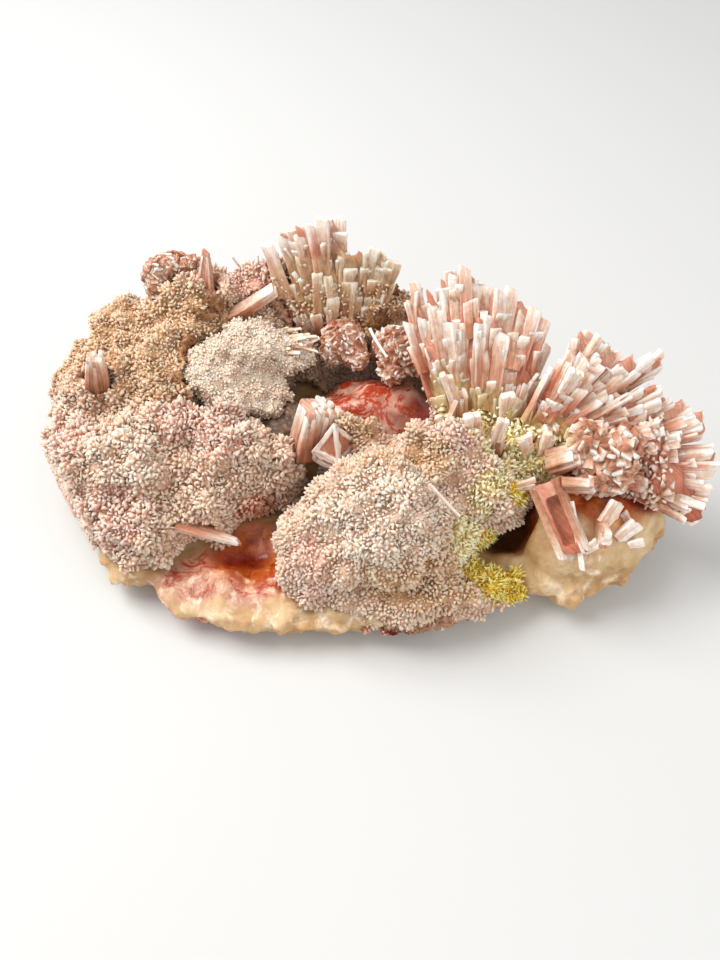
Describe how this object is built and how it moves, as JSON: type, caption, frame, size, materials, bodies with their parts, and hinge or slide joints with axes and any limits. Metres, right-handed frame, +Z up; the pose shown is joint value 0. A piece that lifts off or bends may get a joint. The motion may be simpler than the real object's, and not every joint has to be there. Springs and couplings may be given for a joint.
{
  "type": "stilbite and mordenite mineral specimen",
  "caption": "Natural mineral group: pink and cream stilbite blades and knobbly mordenite crusts on an amber chalcedony base with a red-stained dome.",
  "frame": {"origin": "middle of the specimen's footprint box, on the surface it rests on", "axes": "+X to the right of the front view, along the longest side; +Y away from the viewer; +Z up"},
  "size_m": [0.1993, 0.1162, 0.0755],
  "materials": {
    "chalcedony": "translucent amber to cream chalcedony with orange and red iron stains, waxy and partly wet-looking, with a rough broken rim",
    "mordenite": "matt granular mordenite: fine blunt prongs with cream and pink tips over tan and ochre pits, yellow and mossy at the front right",
    "stilbite": "white to salmon pink stilbite, lengthwise striated blades with a soft pearly gloss and orange-red stains low down",
    "druse": "cream-white sugary druse of tiny beads, smoother and pale at the top"
  },
  "bodies": {
    "root": {"chalcedony_matrix": "chalcedony", "druse_plate": "druse", "mordenite_crust_left": "mordenite", "mordenite_crust_right": "mordenite", "pink_knob": "stilbite", "pink_shell_left": "stilbite", "pink_shell_right": "stilbite", "stilbite_almond": "stilbite", "stilbite_block": "stilbite", "stilbite_chip_dome": "stilbite", "stilbite_chip_fan": "stilbite", "stilbite_chip_frame": "stilbite", "stilbite_chip_pink": "stilbite", "stilbite_chip_right": "stilbite", "stilbite_chip_tan": "stilbite", "stilbite_chip_thin": "stilbite", "stilbite_chunk_white": "stilbite", "stilbite_frame": "stilbite", "stilbite_hook": "stilbite", "stilbite_horn": "stilbite", "stilbite_leaf": "stilbite", "stilbite_point": "stilbite", "stilbite_sheaf_back": "stilbite", "stilbite_sheaf_low": "stilbite", "stilbite_sheaf_middle": "stilbite", "stilbite_sheaf_right": "stilbite", "stilbite_spar": "stilbite"}
  },
  "joints": []
}
